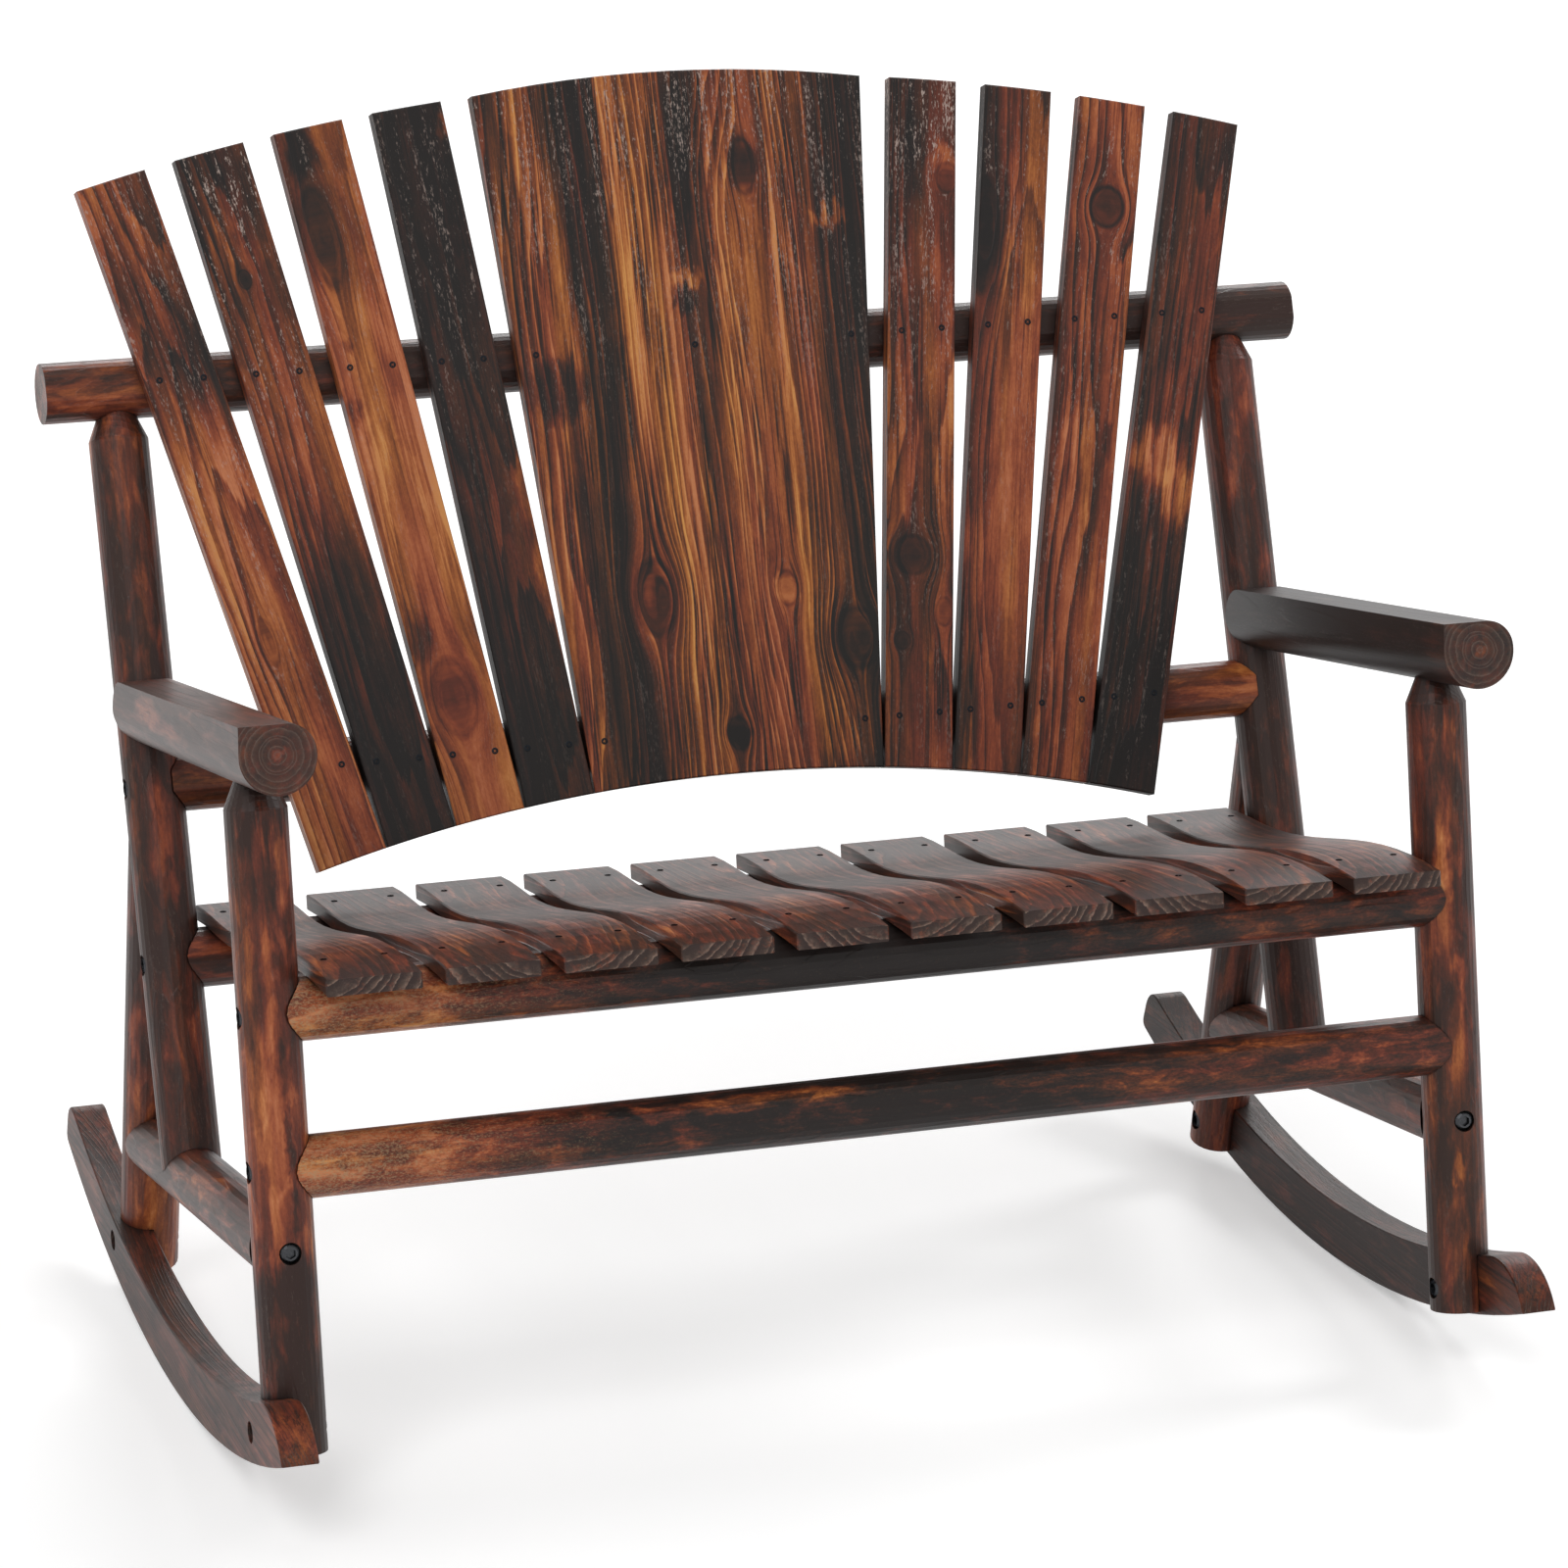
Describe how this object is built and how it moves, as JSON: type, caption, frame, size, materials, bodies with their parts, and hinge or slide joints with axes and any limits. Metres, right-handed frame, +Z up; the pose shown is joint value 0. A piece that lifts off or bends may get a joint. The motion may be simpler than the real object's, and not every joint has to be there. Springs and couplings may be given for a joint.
{
  "type": "rocking bench",
  "caption": "Rustic rocking bench of torched peeled logs with curved sawn rockers, flat-topped armrests, contoured seat slats and a fanned slat back around a wide centre board.",
  "frame": {"origin": "middle of the bounding box, at the floor, with the bench leaning back as it stands still on its rockers", "axes": "+X along the bench to the sitter's left, -Y is the front, +Z up"},
  "size_m": [1.2756, 0.94, 1.164],
  "materials": {
    "torched_log": "peeled fir log, torched to dark brown and clear varnished, satin",
    "torched_rocker": "sawn fir, torched to dark grey-brown and clear varnished, satin",
    "torched_seat_slat": "planed fir, torched to dark red-brown with orange grain, satin varnish",
    "torched_back_slat": "planed fir, torched in bands from golden orange to black, satin varnish",
    "black_bolt": "black oxide button-head bolt"
  },
  "bodies": {
    "root": {"back_centre_board": "torched_back_slat", "front_seat_rail": "torched_log", "front_stretcher": "torched_log", "left_armrest": "torched_log", "left_armrest_bolt": "black_bolt", "left_back_post": "torched_log", "left_back_slat_1": "torched_back_slat", "left_back_slat_2": "torched_back_slat", "left_back_slat_3": "torched_back_slat", "left_back_slat_4": "torched_back_slat", "left_front_leg": "torched_log", "left_front_seat_rail_bolt": "black_bolt", "left_front_stretcher_bolt": "black_bolt", "left_lower_back_rail_bolt": "black_bolt", "left_post_foot_bolt": "black_bolt", "left_rear_leg": "torched_log", "left_rear_leg_bolt": "black_bolt", "left_rear_seat_rail_bolt": "black_bolt", "left_rocker": "torched_rocker", "left_rocker_front_bolt": "black_bolt", "left_rocker_rear_bolt": "black_bolt", "left_side_stretcher": "torched_log", "left_side_stretcher_front_bolt": "black_bolt", "left_side_stretcher_rear_bolt": "black_bolt", "lower_back_rail": "torched_log", "rear_seat_rail": "torched_log", "right_armrest": "torched_log", "right_armrest_bolt": "black_bolt", "right_back_post": "torched_log", "right_back_slat_1": "torched_back_slat", "right_back_slat_2": "torched_back_slat", "right_back_slat_3": "torched_back_slat", "right_back_slat_4": "torched_back_slat", "right_front_leg": "torched_log", "right_front_seat_rail_bolt": "black_bolt", "right_front_stretcher_bolt": "black_bolt", "right_lower_back_rail_bolt": "black_bolt", "right_post_foot_bolt": "black_bolt", "right_rear_leg": "torched_log", "right_rear_leg_bolt": "black_bolt", "right_rear_seat_rail_bolt": "black_bolt", "right_rocker": "torched_rocker", "right_rocker_front_bolt": "black_bolt", "right_rocker_rear_bolt": "black_bolt", "right_side_stretcher": "torched_log", "right_side_stretcher_front_bolt": "black_bolt", "right_side_stretcher_rear_bolt": "black_bolt", "seat_slat_1": "torched_seat_slat", "seat_slat_10": "torched_seat_slat", "seat_slat_2": "torched_seat_slat", "seat_slat_3": "torched_seat_slat", "seat_slat_4": "torched_seat_slat", "seat_slat_5": "torched_seat_slat", "seat_slat_6": "torched_seat_slat", "seat_slat_7": "torched_seat_slat", "seat_slat_8": "torched_seat_slat", "seat_slat_9": "torched_seat_slat", "top_back_rail": "torched_log"}
  },
  "joints": []
}
